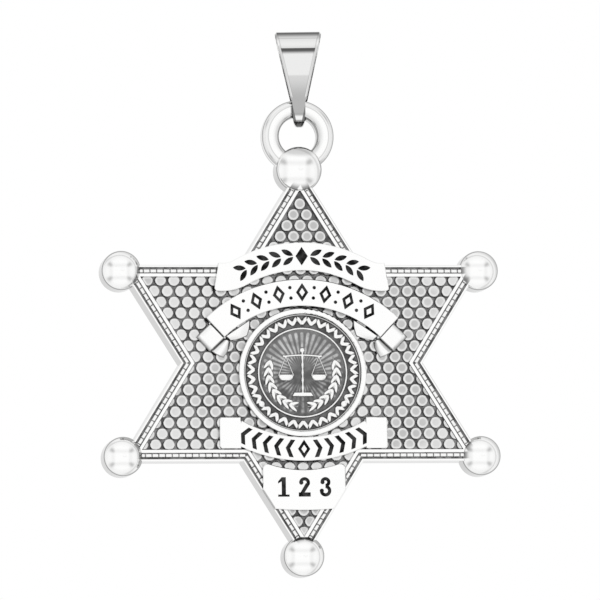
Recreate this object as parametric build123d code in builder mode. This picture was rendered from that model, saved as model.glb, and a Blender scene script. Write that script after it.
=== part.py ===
"""A six-pointed sheriff star badge, made as a pendant that hangs from a tapered bail.

The origin is where a chain rides, inside the top of the bail. X runs to the right, Z up,
and the badge's front faces -Y. All sizes are in millimetres.
"""
from math import atan2, cos, degrees, hypot, radians, sin, sqrt
import os

from build123d import *

os.makedirs("parts", exist_ok=True)

# Star plate: a hexagram stretched sideways, drawn along the middle of the border's dark groove
STAR_REACH = 15.25          # centre to the groove's upper and lower tips
STAR_STRETCH = 1.075        # width against a regular hexagram
STAR_THICK = 2.4
EDGE_BREAK = 0.07
RIM_OUTSIDE = 0.26          # these border lines are offsets from the groove's middle, outward positive
GROOVE_HALF = 0.08
BEAD_BED_INSIDE = -0.38
INNER_RIM_OUTSIDE = -0.44
INNER_RIM_INSIDE = -0.68
GROOVE_DEEP = 0.22
BEAD_BED_DEEP = 0.10
FINE_LINE_DEEP = 0.16

# Pebbled field inside the border
PEBBLE_PITCH_X = 1.078
PEBBLE_PITCH_Z = 0.880
PEBBLE_ROW_Z = 0.50         # height of the row nearest the centre
PEBBLE_RADIUS = 0.38        # of the flat-topped stud in each pebble
PEBBLE_TOP = 0.07           # depth of the pebbles' tops below the rims
FIELD_DEEP = 0.42

# Ball tips: a dome on a straight-sided, flat-backed foot
BALL_RADIUS = 1.58
TOP_BALL_RADIUS = 1.84
BOTTOM_BALL_RADIUS = 1.64
BALL_SIDE_X = 14.45
BALL_SIDE_Z = 7.45
BALL_TOP_Z = 15.60
BALL_BOTTOM_Z = -15.46
DOME_SPRING = 0.30          # depth at which the dome springs from its foot
DOME_RISE = 1.05
DOME_SHOULDER = 0.55

# Hanging ring, soldered behind the top ball
RING_Z = 18.32
RING_OUTSIDE = 2.91
RING_INSIDE = 1.54
RING_DEEP = 1.7
RING_ROUND = 0.42

# Bail: one strip folded into a tall loop, tapered downwards
BAIL_STRIP = 0.28
BAIL_TOP_RADIUS = 1.70
BAIL_TOP_Z = 26.80
BAIL_TOP_HALF = 1.93
BAIL_SHOULDER_Z = 21.40
BAIL_SHOULDER_HALF = 0.70
BAIL_NECK_Z = 21.05
BAIL_NECK_HALF = 0.52
BAIL_NECK_LOW_Z = 20.05
BAIL_TIP_HALF = 0.42
BAIL_TURN = -8.0            # degrees: it hangs turned a little on the ring
BAIL_ASIDE = 0.18           # and a little to the right of the ring's middle
BAIL_SWING_GAP = 0.24       # between the loop's inside and the turning ring, with room for both
BAIL_BEVEL = 0.16           # along the strip's outer long edges

# Applied pieces
BANNER_FRONT = -0.55        # depths from the rim plane: in front of it is negative
SEAT_ON_RIM = -0.02
SEAT_ON_PEBBLES = 0.05
PIECE_GAP = 0.04
BANNER_BREAK = 0.05
BANNER_CORNER = 0.22
ENGRAVE_DEEP = 0.12
LOZENGE_WIDE = 1.00
LOZENGE_TALL = 1.50
LOZENGE_HEART = 0.45        # the bright middle's share of a lozenge
DOT_RADIUS = 0.14
DOT_OFF_MIDDLE = 0.42

TOP_BANNER_CENTRE_Z = -1.59
TOP_BANNER_RADIUS = 10.12
TOP_BANNER_HALF = 1.12
TOP_BANNER_SWEEP = 29.3
TOP_BANNER_END_RADIUS = 2.94
TOP_BANNER_END_SWEEP = 39.0
TOP_LEAVES = 5              # pairs on each side, placed by degrees from the middle
TOP_LEAF_START = 6.4
TOP_LEAF_STEP = 5.6
LEAF_LONG = 1.05
LEAF_WIDE = 0.42
LEAF_LEAN = 32
LEAF_OFF_STEM = 0.34

ARCH_CENTRE_Z = -4.60
ARCH_OUTSIDE = 11.29
ARCH_INSIDE = 9.16
ARCH_SWEEP = 43.4
ARCH_LOZENGES = 3           # on each side of the middle one
ARCH_LOZENGE_STEP = 10.6

LOW_BANNER_CENTRE_Z = 3.91
LOW_BANNER_OUTSIDE = 11.79
LOW_BANNER_INSIDE = 9.91
LOW_BANNER_SWEEP = 30.0
LOW_TAB_INNER_X = 5.05
LOW_TAB_OUTER_X = 6.75
LOW_TAB_TOP_Z = -4.38
LOW_TAB_BOTTOM_Z = -6.88
CHEVRONS = 5                # on each side
CHEVRON_START = 6.0
CHEVRON_STEP = 5.0
CHEVRON_TALL = 1.40
CHEVRON_STROKE = 0.36
CHEVRON_POINT = 0.36

PANEL_HALF = 3.32
PANEL_TOP_Z = -7.96
PANEL_DIP_Z = -8.60
PANEL_WAIST_Z = -10.20
PANEL_FOOT_HALF = 2.36
PANEL_FOOT_Z = -11.72
PANEL_FOOT_BOW = 0.10
PANEL_TOP_CORNER = 0.38
DIGIT_TALL = 1.56
DIGIT_STROKE = 0.34
DIGIT_FINE = 0.17
DIGIT_PITCH = 1.68
DIGIT_Z = -9.98

SEAL_Z = -0.80
BEZEL_OUTSIDE = 5.15
BEZEL_INSIDE = 4.72
BEZEL_FRONT = -0.50
BEZEL_ROUND = 0.12
SEAL_RADIUS = 4.68
SEAL_FLOOR = -0.10
SEAL_RELIEF = -0.32
SEAL_RING_OUTSIDE = 3.62
SEAL_RING_INSIDE = 3.47
SEAL_BAND_RADIUS = 4.17
SEAL_DOT_RADIUS = 0.30
SEAL_DOT_ANGLE = 127.0      # from straight up
SEAL_BAND_ARC = 238.0       # degrees of band above the dots, and below them
SEAL_FOOT_ARC = 88.0
BAND_LEAVES = 23            # pairs round the upper part of the band
BAND_FOOT_LEAVES = 9        # pairs in its lower part
BAND_LEAF_LONG = 0.78
BAND_LEAF_WIDE = 0.26
BAND_LEAF_LEAN = 24
BAND_PAIR_HALF = 0.19
SPRAY_RADIUS = 2.75         # laurel sprays round the seal's middle
SPRAY_LEAVES = 8
SPRAY_START = 16.0          # from straight down
SPRAY_STEP = 12.5
SPRAY_LEAF_LONG = 0.86
SPRAY_LEAF_WIDE = 0.30
SCALE_POST_HALF = 0.11      # scales of justice in the seal's middle
SCALE_POST_TALL = 3.5
SCALE_BEAM_Z = 1.30
SCALE_BEAM_HALF = 1.50
SCALE_BEAM_THICK = 0.17
SCALE_CORD = 0.07
SCALE_PAN_Z = -0.20
SCALE_PAN_HALF = 0.60
SCALE_BASE_HALF = 0.80

# Folded ribbon tails beside the arch banner, placed along and away from the banner's cut end
TAIL_FRONT = -0.28
TAIL_WIDE = 1.55
TAIL_LONG = 1.62
CURL_FRONT = -0.16
FOLD_FRONT = -0.20
FOLD_END_ANGLE = 27.5
FOLD_CORNERS = ((-4.12, 2.80), (-4.80, 2.10), (-5.50, 1.90), (-5.80, 1.62), (-6.33, 1.98))

# Worked out
RING_WIRE_Z = RING_Z + (RING_OUTSIDE + RING_INSIDE) / 2
RING_WIRE_HALF = (RING_OUTSIDE - RING_INSIDE) / 2
RING_CORNER = hypot(RING_WIRE_HALF - RING_ROUND, RING_DEEP / 2 - RING_ROUND) + RING_ROUND
BAIL_FOOT_INSIDE = RING_CORNER + BAIL_SWING_GAP
BAIL_FOOT_RADIUS = BAIL_FOOT_INSIDE + BAIL_STRIP
SEAT_Z = BAIL_TOP_Z - BAIL_STRIP    # height of the chain seat over the star's centre


def front_plane(depth, height=0.0):
    """A plane that faces the viewer, this far behind the rims and above the star's centre."""
    return Plane(origin=(0, depth - STAR_THICK / 2, height - SEAT_Z), x_dir=(1, 0, 0), z_dir=(0, -1, 0))


def turning_plane(x, z):
    """A level plane through (x, z) for a profile that is turned about the front-to-back line there."""
    return Plane(origin=(x, -STAR_THICK / 2, z - SEAT_Z))


def front_axis(x, z):
    return Axis((x, 0, z - SEAT_Z), (0, 1, 0))


def star_points():
    """The hexagram's tips and notches, clockwise from the top."""
    points = []
    for step in range(12):
        reach = STAR_REACH if step % 2 == 0 else STAR_REACH / sqrt(3)
        turn = radians(30 * step)
        points.append((reach * sin(turn) * STAR_STRETCH, reach * cos(turn)))
    return points


def star_shape(outward, mode=Mode.ADD):
    """The hexagram of the groove's middle, grown or shrunk with sharp corners."""
    with BuildSketch(mode=Mode.PRIVATE) as middle:
        Polygon(*star_points(), align=None)
    with BuildSketch(mode=Mode.PRIVATE) as grown:
        offset(middle.sketch, amount=outward, kind=Kind.INTERSECTION)
    add(grown.sketch, mode=mode)


def sector(x, z, inside, outside, start, sweep):
    """A band between two arcs about (x, z), from one polar angle through this many degrees."""
    with BuildSketch(mode=Mode.PRIVATE) as band:
        with BuildLine():
            near = CenterArc((x, z), inside, start, sweep)
            far = CenterArc((x, z), outside, start, sweep)
            Line(near @ 0, far @ 0)
            Line(near @ 1, far @ 1)
        make_face()
    add(band.sketch)


def on_arc(centre_z, radius, angle, turn=0.0, upwards=True):
    """A place on an arc about (0, centre_z), turned with the arc, the angle being from its middle."""
    side = 1 if upwards else -1
    x = radius * sin(radians(angle))
    z = centre_z + side * radius * cos(radians(angle))
    return Location((x, z, 0), (0, 0, 1), turn - side * angle)


def spread(middle, arc, count):
    """Angles spaced evenly over an arc about its middle."""
    return [middle + arc * (step / (count - 1) - 0.5) for step in range(count)]


def leaf(long, wide, mode=Mode.ADD):
    """A pointed leaf lying along X, its middle at the place."""
    with BuildSketch(mode=Mode.PRIVATE) as shape:
        with BuildLine():
            ThreePointArc((-long / 2, 0), (0, wide / 2), (long / 2, 0))
            ThreePointArc((long / 2, 0), (0, -wide / 2), (-long / 2, 0))
        make_face()
    add(shape.sketch, mode=mode)


def lozenge(wide, tall, mode=Mode.ADD):
    half_wide, half_tall = wide / 2, tall / 2
    Polygon((half_wide, 0), (0, half_tall), (-half_wide, 0), (0, -half_tall), align=None, mode=mode)


def chevron():
    """A bold arrow-like bar, pointing along X."""
    half = CHEVRON_TALL / 2
    back = -(CHEVRON_STROKE + CHEVRON_POINT) / 2
    Polygon(
        (back, half),
        (back + CHEVRON_STROKE, half),
        (back + CHEVRON_STROKE + CHEVRON_POINT, 0),
        (back + CHEVRON_STROKE, -half),
        (back, -half),
        (back + CHEVRON_POINT, 0),
        align=None,
    )


def digit_one():
    half = DIGIT_TALL / 2
    with BuildSketch(mode=Mode.PRIVATE) as shape:
        Rectangle(DIGIT_STROKE, DIGIT_TALL)
        with Locations((0, -half + DIGIT_FINE / 2)):
            Rectangle(2.7 * DIGIT_STROKE, DIGIT_FINE)
        Polygon(
            (-DIGIT_STROKE / 2, half),
            (-DIGIT_STROKE * 1.35, half - DIGIT_STROKE),
            (-DIGIT_STROKE * 1.35, half - DIGIT_STROKE - DIGIT_FINE),
            (-DIGIT_STROKE / 2, half - DIGIT_STROKE),
            align=None,
        )
    add(shape.sketch)


def digit_two():
    half = DIGIT_TALL / 2
    radius = 0.28 * DIGIT_TALL
    with BuildSketch(mode=Mode.PRIVATE) as shape:
        sector(0, half - radius, radius - DIGIT_STROKE * 0.8, radius, 180, -205)
        with Locations((-radius + DIGIT_STROKE / 2, half - radius)):
            Circle(DIGIT_STROKE / 2)
        Polygon(
            (radius, half - radius),
            (radius - DIGIT_STROKE, half - radius - 0.05),
            (-radius, -half + DIGIT_FINE),
            (-radius + DIGIT_STROKE, -half + DIGIT_FINE),
            (radius * 0.92, half - 1.35 * radius),
            align=None,
        )
        with Locations((0, -half + DIGIT_FINE)):
            Rectangle(2.2 * radius, 2 * DIGIT_FINE)
    add(shape.sketch)


def digit_three():
    half = DIGIT_TALL / 2
    upper = 0.26 * DIGIT_TALL
    lower = 0.30 * DIGIT_TALL
    with BuildSketch(mode=Mode.PRIVATE) as shape:
        sector(0, half - upper, upper - DIGIT_STROKE * 0.8, upper, 165, -255)
        sector(0, -half + lower, lower - DIGIT_STROKE * 0.8, lower, 90, -255)
        for radius, z in ((upper, half - upper), (lower, lower - half)):
            with Locations((DIGIT_STROKE / 2 - radius, z)):
                Circle(DIGIT_STROKE / 2)
    add(shape.sketch)


def inside_star(x, z):
    """Whether a pebble's centre is inside the inner rim, by the two triangles that make a hexagram."""
    flat_x = abs(x) / STAR_STRETCH
    margin = INNER_RIM_INSIDE - 0.12
    edge = STAR_REACH / 2 + margin
    slant = flat_x * cos(radians(30))
    up = max(-z, slant + z / 2) < edge
    down = max(z, slant - z / 2) < edge
    return up or down


def pebble_places():
    """Rows of pebbles over the field, each second row half a pitch over, without those the seal hides."""
    places = []
    hidden = BEZEL_OUTSIDE - PEBBLE_RADIUS - 0.1
    rows = int(STAR_REACH / PEBBLE_PITCH_Z) + 1
    columns = int(STAR_REACH / PEBBLE_PITCH_X) + 1
    for row in range(-rows, rows + 1):
        z = PEBBLE_ROW_Z + row * PEBBLE_PITCH_Z
        shift = 0.5 * (row % 2)
        for column in range(-columns, columns + 1):
            x = (column + shift) * PEBBLE_PITCH_X
            if inside_star(x, z) and hypot(x, z - SEAL_Z) > hidden:
                places.append((x, z))
    return places


def scales():
    """Scales of justice: post, foot, beam and two hanging pans, about the seal's centre."""
    Rectangle(2 * SCALE_POST_HALF, SCALE_POST_TALL)
    with Locations((0, SCALE_POST_TALL / 2)):
        Circle(2.2 * SCALE_POST_HALF)
    with Locations((0, -SCALE_POST_TALL / 2)):
        Trapezoid(2 * SCALE_BASE_HALF, 0.4 * SCALE_BASE_HALF, 60)
    with Locations((0, SCALE_BEAM_Z)):
        Rectangle(2 * SCALE_BEAM_HALF, SCALE_BEAM_THICK)
    for side in (1, -1):
        hang_x = side * (SCALE_BEAM_HALF - SCALE_BEAM_THICK)
        for edge in (1, -1):
            rim_x = hang_x + edge * SCALE_PAN_HALF
            Polygon(
                (hang_x - SCALE_CORD / 2, SCALE_BEAM_Z),
                (hang_x + SCALE_CORD / 2, SCALE_BEAM_Z),
                (rim_x + SCALE_CORD / 2, SCALE_PAN_Z),
                (rim_x - SCALE_CORD / 2, SCALE_PAN_Z),
                align=None,
            )
        with BuildSketch(mode=Mode.PRIVATE) as pan:
            with Locations((hang_x, SCALE_PAN_Z)):
                Circle(1.08 * SCALE_PAN_HALF)
            with Locations((hang_x, SCALE_PAN_Z + SCALE_PAN_HALF)):
                Rectangle(3 * SCALE_PAN_HALF, 2 * SCALE_PAN_HALF, mode=Mode.SUBTRACT)
            with Locations((hang_x, SCALE_PAN_Z - 1.15 * SCALE_PAN_HALF)):
                Rectangle(3 * SCALE_PAN_HALF, SCALE_PAN_HALF, mode=Mode.SUBTRACT)
        add(pan.sketch)


def beside_end(along, away):
    """A point from the inner corner of the arch banner's left end: along its cut, and away from it."""
    turn = radians(ARCH_SWEEP)
    corner_x = -ARCH_INSIDE * sin(turn)
    corner_z = ARCH_CENTRE_Z + ARCH_INSIDE * cos(turn)
    return corner_x - along * sin(turn) - away * cos(turn), corner_z + along * cos(turn) - away * sin(turn)


def on_outside_of_strip(edge):
    """Whether a long edge of the bail lies on the outside of its folded strip."""
    middle_y = (BAIL_TOP_RADIUS + BAIL_FOOT_RADIUS - BAIL_STRIP) / 2
    return abs(edge.center().Y) > middle_y or edge.center().Z > BAIL_STRIP / 2


def dome_profile(radius):
    """Half of a ball tip in side view: its flat-backed foot, a round shoulder and a flatter crown."""
    foot_edge = radius - EDGE_BREAK
    middle = radius - DOME_SHOULDER
    rise = DOME_RISE - DOME_SHOULDER
    drop = (middle**2 - rise**2) / (2 * rise)
    slope = degrees(atan2(drop, middle))
    with BuildSketch(mode=Mode.PRIVATE) as half:
        with BuildLine():
            Polyline(
                (0, DOME_SPRING - DOME_RISE),
                (0, STAR_THICK),
                (foot_edge, STAR_THICK),
                (radius, STAR_THICK - EDGE_BREAK),
                (radius, DOME_SPRING),
            )
            CenterArc((middle, DOME_SPRING), DOME_SHOULDER, 0, -slope)
            CenterArc((0, DOME_SPRING + drop), DOME_RISE + drop, -slope, slope - 90)
        make_face()
    add(half.sketch)


def break_front_edges(piece, depth):
    """Takes the sharp edge off the front face that lies at this depth."""
    level = depth - STAR_THICK / 2
    chamfer(piece.edges().filter_by_position(Axis.Y, level, level), length=BANNER_BREAK)


# Star body: plate, border, pebbled field, ball tips and hanging ring in one casting
with BuildPart() as star_body:
    with BuildSketch(front_plane(STAR_THICK)):
        star_shape(RIM_OUTSIDE)
    extrude(amount=STAR_THICK)
    chamfer(star_body.edges().filter_by_position(Axis.Y, STAR_THICK / 2, STAR_THICK / 2), EDGE_BREAK)
    chamfer(star_body.edges().filter_by_position(Axis.Y, -STAR_THICK / 2, -STAR_THICK / 2), EDGE_BREAK)
    for outer, inner, deep in (
        (GROOVE_HALF, -GROOVE_HALF, GROOVE_DEEP),
        (-GROOVE_HALF, BEAD_BED_INSIDE, BEAD_BED_DEEP),
        (BEAD_BED_INSIDE, INNER_RIM_OUTSIDE, FINE_LINE_DEEP),
    ):
        with BuildSketch(front_plane(0)):
            star_shape(outer)
            star_shape(inner, mode=Mode.SUBTRACT)
        extrude(amount=-deep, mode=Mode.SUBTRACT)
    with BuildSketch(front_plane(0)):
        star_shape(INNER_RIM_INSIDE)
    extrude(amount=-PEBBLE_TOP, mode=Mode.SUBTRACT)
    with BuildSketch(front_plane(0)):
        star_shape(INNER_RIM_INSIDE)
        with Locations(*pebble_places()):
            Circle(PEBBLE_RADIUS, mode=Mode.SUBTRACT)
    extrude(amount=-FIELD_DEEP, mode=Mode.SUBTRACT)

    ball_places = [
        (0, BALL_TOP_Z, TOP_BALL_RADIUS),
        (BALL_SIDE_X, BALL_SIDE_Z, BALL_RADIUS),
        (BALL_SIDE_X, -BALL_SIDE_Z, BALL_RADIUS),
        (0, BALL_BOTTOM_Z, BOTTOM_BALL_RADIUS),
        (-BALL_SIDE_X, -BALL_SIDE_Z, BALL_RADIUS),
        (-BALL_SIDE_X, BALL_SIDE_Z, BALL_RADIUS),
    ]
    for ball_x, ball_z, ball_radius in ball_places:
        with BuildSketch(turning_plane(ball_x, ball_z)):
            dome_profile(ball_radius)
        revolve(axis=front_axis(ball_x, ball_z))

    with BuildSketch(turning_plane(0, RING_Z)):
        with Locations(((RING_OUTSIDE + RING_INSIDE) / 2, STAR_THICK / 2)):
            RectangleRounded(2 * RING_WIRE_HALF, RING_DEEP, RING_ROUND)
    revolve(axis=front_axis(0, RING_Z))


# Top banner: a ribbon that arches over the upper arm and turns level at both ends
with BuildPart() as top_banner:
    with BuildSketch(front_plane(SEAT_ON_RIM)) as outline:
        inside = TOP_BANNER_RADIUS - TOP_BANNER_HALF
        outside = TOP_BANNER_RADIUS + TOP_BANNER_HALF
        sector(0, TOP_BANNER_CENTRE_Z, inside, outside, 90 - TOP_BANNER_SWEEP, 2 * TOP_BANNER_SWEEP)
        end_reach = TOP_BANNER_RADIUS + TOP_BANNER_END_RADIUS
        end_x = end_reach * sin(radians(TOP_BANNER_SWEEP))
        end_z = TOP_BANNER_CENTRE_Z + end_reach * cos(radians(TOP_BANNER_SWEEP))
        end_inside = TOP_BANNER_END_RADIUS - TOP_BANNER_HALF
        end_outside = TOP_BANNER_END_RADIUS + TOP_BANNER_HALF
        for side in (1, -1):
            start = 270 - side * TOP_BANNER_SWEEP
            sector(side * end_x, end_z, end_inside, end_outside, start, side * TOP_BANNER_END_SWEEP)
        corners = outline.vertices().group_by(Axis.X)
        fillet(corners[0] + corners[-1], BANNER_CORNER)
    extrude(amount=SEAT_ON_RIM - BANNER_FRONT)
    break_front_edges(top_banner, BANNER_FRONT)
    with BuildSketch(front_plane(BANNER_FRONT)):
        for side in (1, -1):
            for step in range(TOP_LEAVES):
                angle = side * (TOP_LEAF_START + step * TOP_LEAF_STEP)
                for lean in (1, -1):
                    radius = TOP_BANNER_RADIUS + lean * LEAF_OFF_STEM
                    turn = side * lean * LEAF_LEAN
                    with Locations(on_arc(TOP_BANNER_CENTRE_Z, radius, angle, turn)):
                        leaf(LEAF_LONG, LEAF_WIDE)
        with Locations((0, TOP_BANNER_CENTRE_Z + TOP_BANNER_RADIUS)):
            lozenge(LOZENGE_WIDE, LOZENGE_TALL)
    extrude(amount=-ENGRAVE_DEEP, mode=Mode.SUBTRACT)

# Arch banner: the longest ribbon, over the seal
with BuildPart() as arch_banner:
    with BuildSketch(front_plane(SEAT_ON_PEBBLES)):
        sector(0, ARCH_CENTRE_Z, ARCH_INSIDE, ARCH_OUTSIDE, 90 - ARCH_SWEEP, 2 * ARCH_SWEEP)
    extrude(amount=SEAT_ON_PEBBLES - BANNER_FRONT)
    break_front_edges(arch_banner, BANNER_FRONT)
    with BuildSketch(front_plane(BANNER_FRONT)):
        middle = (ARCH_INSIDE + ARCH_OUTSIDE) / 2
        for step in range(-ARCH_LOZENGES, ARCH_LOZENGES + 1):
            with Locations(on_arc(ARCH_CENTRE_Z, middle, step * ARCH_LOZENGE_STEP)):
                lozenge(LOZENGE_WIDE, LOZENGE_TALL)
                lozenge(LOZENGE_WIDE * LOZENGE_HEART, LOZENGE_TALL * LOZENGE_HEART, mode=Mode.SUBTRACT)
        for step in range(-ARCH_LOZENGES, ARCH_LOZENGES):
            angle = (step + 0.5) * ARCH_LOZENGE_STEP
            for lift in (DOT_OFF_MIDDLE, -DOT_OFF_MIDDLE):
                with Locations(on_arc(ARCH_CENTRE_Z, middle + lift, angle)):
                    Circle(DOT_RADIUS)
    extrude(amount=-ENGRAVE_DEEP, mode=Mode.SUBTRACT)

# Lower banner: a ribbon that hangs under the seal, with a level tab at each end
with BuildPart() as lower_banner:
    with BuildSketch(front_plane(SEAT_ON_RIM)) as outline:
        start = 270 - LOW_BANNER_SWEEP
        sector(0, LOW_BANNER_CENTRE_Z, LOW_BANNER_INSIDE, LOW_BANNER_OUTSIDE, start, 2 * LOW_BANNER_SWEEP)
        tab_x = (LOW_TAB_INNER_X + LOW_TAB_OUTER_X) / 2
        tab_z = (LOW_TAB_TOP_Z + LOW_TAB_BOTTOM_Z) / 2
        with Locations((tab_x, tab_z), (-tab_x, tab_z)):
            Rectangle(LOW_TAB_OUTER_X - LOW_TAB_INNER_X, LOW_TAB_TOP_Z - LOW_TAB_BOTTOM_Z)
        corners = outline.vertices().group_by(Axis.X)
        fillet(corners[0] + corners[-1], BANNER_CORNER)
    extrude(amount=SEAT_ON_RIM - BANNER_FRONT)
    break_front_edges(lower_banner, BANNER_FRONT)
    with BuildSketch(front_plane(BANNER_FRONT)):
        middle = (LOW_BANNER_INSIDE + LOW_BANNER_OUTSIDE) / 2
        for side in (1, -1):
            for step in range(CHEVRONS):
                angle = side * (CHEVRON_START + step * CHEVRON_STEP)
                turn = 0 if side > 0 else 180
                with Locations(on_arc(LOW_BANNER_CENTRE_Z, middle, angle, turn, upwards=False)):
                    chevron()
        with Locations((0, LOW_BANNER_CENTRE_Z - middle)):
            lozenge(LOZENGE_WIDE, LOZENGE_TALL)
            lozenge(LOZENGE_WIDE * LOZENGE_HEART, LOZENGE_TALL * LOZENGE_HEART, mode=Mode.SUBTRACT)
    extrude(amount=-ENGRAVE_DEEP, mode=Mode.SUBTRACT)

# Number panel: a small shield over the lower arm, with plain numerals
with BuildPart() as number_panel:
    with BuildSketch(front_plane(SEAT_ON_RIM)) as outline:
        with BuildLine():
            top = ThreePointArc((-PANEL_HALF, PANEL_TOP_Z), (0, PANEL_DIP_Z), (PANEL_HALF, PANEL_TOP_Z))
            Polyline(top @ 1, (PANEL_HALF, PANEL_WAIST_Z), (PANEL_FOOT_HALF, PANEL_FOOT_Z))
            foot = ThreePointArc(
                (PANEL_FOOT_HALF, PANEL_FOOT_Z),
                (0, PANEL_FOOT_Z - PANEL_FOOT_BOW),
                (-PANEL_FOOT_HALF, PANEL_FOOT_Z),
            )
            Polyline(foot @ 1, (-PANEL_HALF, PANEL_WAIST_Z), top @ 0)
        make_face()
        corners = outline.vertices().group_by(Axis.Y)
        fillet(corners[-1], PANEL_TOP_CORNER)
        fillet(outline.vertices().group_by(Axis.Y)[0], BANNER_CORNER)
    extrude(amount=SEAT_ON_RIM - BANNER_FRONT)
    break_front_edges(number_panel, BANNER_FRONT)
    with BuildSketch(front_plane(BANNER_FRONT)):
        for place, digit in zip((-1, 0, 1), (digit_one, digit_two, digit_three)):
            with Locations((place * DIGIT_PITCH, DIGIT_Z)):
                digit()
    extrude(amount=-ENGRAVE_DEEP, mode=Mode.SUBTRACT)

# Seal: a plain bezel round a struck disc
with BuildPart() as seal_bezel:
    with BuildSketch(front_plane(SEAT_ON_PEBBLES, SEAL_Z)):
        Circle(BEZEL_OUTSIDE)
        Circle(BEZEL_INSIDE, mode=Mode.SUBTRACT)
    extrude(amount=SEAT_ON_PEBBLES - BEZEL_FRONT)
    level = BEZEL_FRONT - STAR_THICK / 2
    fillet(seal_bezel.edges().filter_by_position(Axis.Y, level, level), BEZEL_ROUND)


with BuildPart() as seal_disc:
    with BuildSketch(front_plane(SEAT_ON_PEBBLES, SEAL_Z)):
        Circle(SEAL_RADIUS)
    extrude(amount=SEAT_ON_PEBBLES - SEAL_FLOOR)
    with BuildSketch(front_plane(SEAL_FLOOR, SEAL_Z)):
        Circle(SEAL_RING_OUTSIDE)
        Circle(SEAL_RING_INSIDE, mode=Mode.SUBTRACT)
        scales()
        for side in (1, -1):
            with Locations(on_arc(0, SEAL_BAND_RADIUS, side * SEAL_DOT_ANGLE)):
                Circle(SEAL_DOT_RADIUS)
            for step in range(SPRAY_LEAVES):
                angle = side * (180 - SPRAY_START - step * SPRAY_STEP)
                for lean in (1, -1):
                    radius = SPRAY_RADIUS + lean * BAND_PAIR_HALF
                    with Locations(on_arc(0, radius, angle, side * lean * BAND_LEAF_LEAN)):
                        leaf(SPRAY_LEAF_LONG, SPRAY_LEAF_WIDE)
        for angle in spread(0, SEAL_BAND_ARC, BAND_LEAVES) + spread(180, SEAL_FOOT_ARC, BAND_FOOT_LEAVES):
            for lean in (1, -1):
                aside = lean * degrees(BAND_PAIR_HALF / SEAL_BAND_RADIUS)
                turn = 90 - lean * BAND_LEAF_LEAN
                with Locations(on_arc(0, SEAL_BAND_RADIUS, angle + aside, turn)):
                    leaf(BAND_LEAF_LONG, BAND_LEAF_WIDE)
    extrude(amount=SEAL_FLOOR - SEAL_RELIEF)


# Folded tails of the arch banner, one on each side
with BuildPart() as left_tail:
    with BuildSketch(front_plane(SEAT_ON_PEBBLES)):
        Polygon(
            beside_end(-0.06, PIECE_GAP),
            beside_end(TAIL_WIDE, PIECE_GAP),
            beside_end(TAIL_WIDE, TAIL_LONG),
            beside_end(-0.06, TAIL_LONG),
            align=None,
        )
    extrude(amount=SEAT_ON_PEBBLES - TAIL_FRONT)
    with BuildSketch(front_plane(SEAT_ON_PEBBLES)):
        Polygon(
            beside_end(-0.04, TAIL_LONG - 0.2),
            beside_end(-0.86, TAIL_LONG - 0.06),
            beside_end(-1.15, 1.15),
            beside_end(-0.66, -0.1),
            beside_end(-0.04, PIECE_GAP),
            align=None,
        )
    extrude(amount=SEAT_ON_PEBBLES - CURL_FRONT)
    with BuildSketch(front_plane(SEAT_ON_PEBBLES)):
        reach = ARCH_INSIDE - PIECE_GAP
        near, far = radians(ARCH_SWEEP - 0.6), radians(FOLD_END_ANGLE)
        halfway = (near + far) / 2
        with BuildLine():
            under = ThreePointArc(
                (-reach * sin(near), ARCH_CENTRE_Z + reach * cos(near)),
                (-reach * sin(halfway), ARCH_CENTRE_Z + reach * cos(halfway)),
                (-reach * sin(far), ARCH_CENTRE_Z + reach * cos(far)),
            )
            Polyline(under @ 1, *FOLD_CORNERS, under @ 0)
        make_face()
    extrude(amount=SEAT_ON_PEBBLES - FOLD_FRONT)

with BuildPart() as right_tail:
    add(left_tail.part)
    mirror(about=Plane.YZ, mode=Mode.REPLACE)

# Bail: the strip's side view, cut to its tapered front view
with BuildPart() as bail:
    top_z = BAIL_TOP_Z - BAIL_TOP_RADIUS - SEAT_Z
    foot_z = RING_WIRE_Z - SEAT_Z
    for thinner, mode in ((0, Mode.ADD), (BAIL_STRIP, Mode.SUBTRACT)):
        with BuildSketch(Plane.YZ):
            with Locations((0, top_z)):
                Circle(BAIL_TOP_RADIUS - thinner)
            with Locations((0, foot_z)):
                Circle(BAIL_FOOT_RADIUS - thinner)
            make_hull()
        extrude(amount=BAIL_TOP_HALF, both=True, mode=mode)
    with BuildSketch(front_plane(STAR_THICK / 2)):
        tip_z = RING_WIRE_Z - BAIL_FOOT_RADIUS
        with BuildLine():
            right = Polyline(
                (BAIL_TOP_HALF, BAIL_TOP_Z + 0.1),
                (BAIL_SHOULDER_HALF, BAIL_SHOULDER_Z),
                (BAIL_NECK_HALF, BAIL_NECK_Z),
                (BAIL_NECK_HALF, BAIL_NECK_LOW_Z),
                (BAIL_TIP_HALF, tip_z + BAIL_TIP_HALF),
            )
            ThreePointArc(right @ 1, (0, tip_z - 0.02), (-BAIL_TIP_HALF, tip_z + BAIL_TIP_HALF))
            mirror(right, about=Plane.YZ)
            Line((BAIL_TOP_HALF, BAIL_TOP_Z + 0.1), (-BAIL_TOP_HALF, BAIL_TOP_Z + 0.1))
        make_face()
    extrude(amount=BAIL_TOP_RADIUS + 1, both=True, mode=Mode.INTERSECT)
    side_faces = bail.faces().filter_by(lambda face: abs(face.center().X) > 2 * BAIL_NECK_HALF)
    chamfer(side_faces.edges().filter_by(on_outside_of_strip), BAIL_BEVEL)

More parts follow.
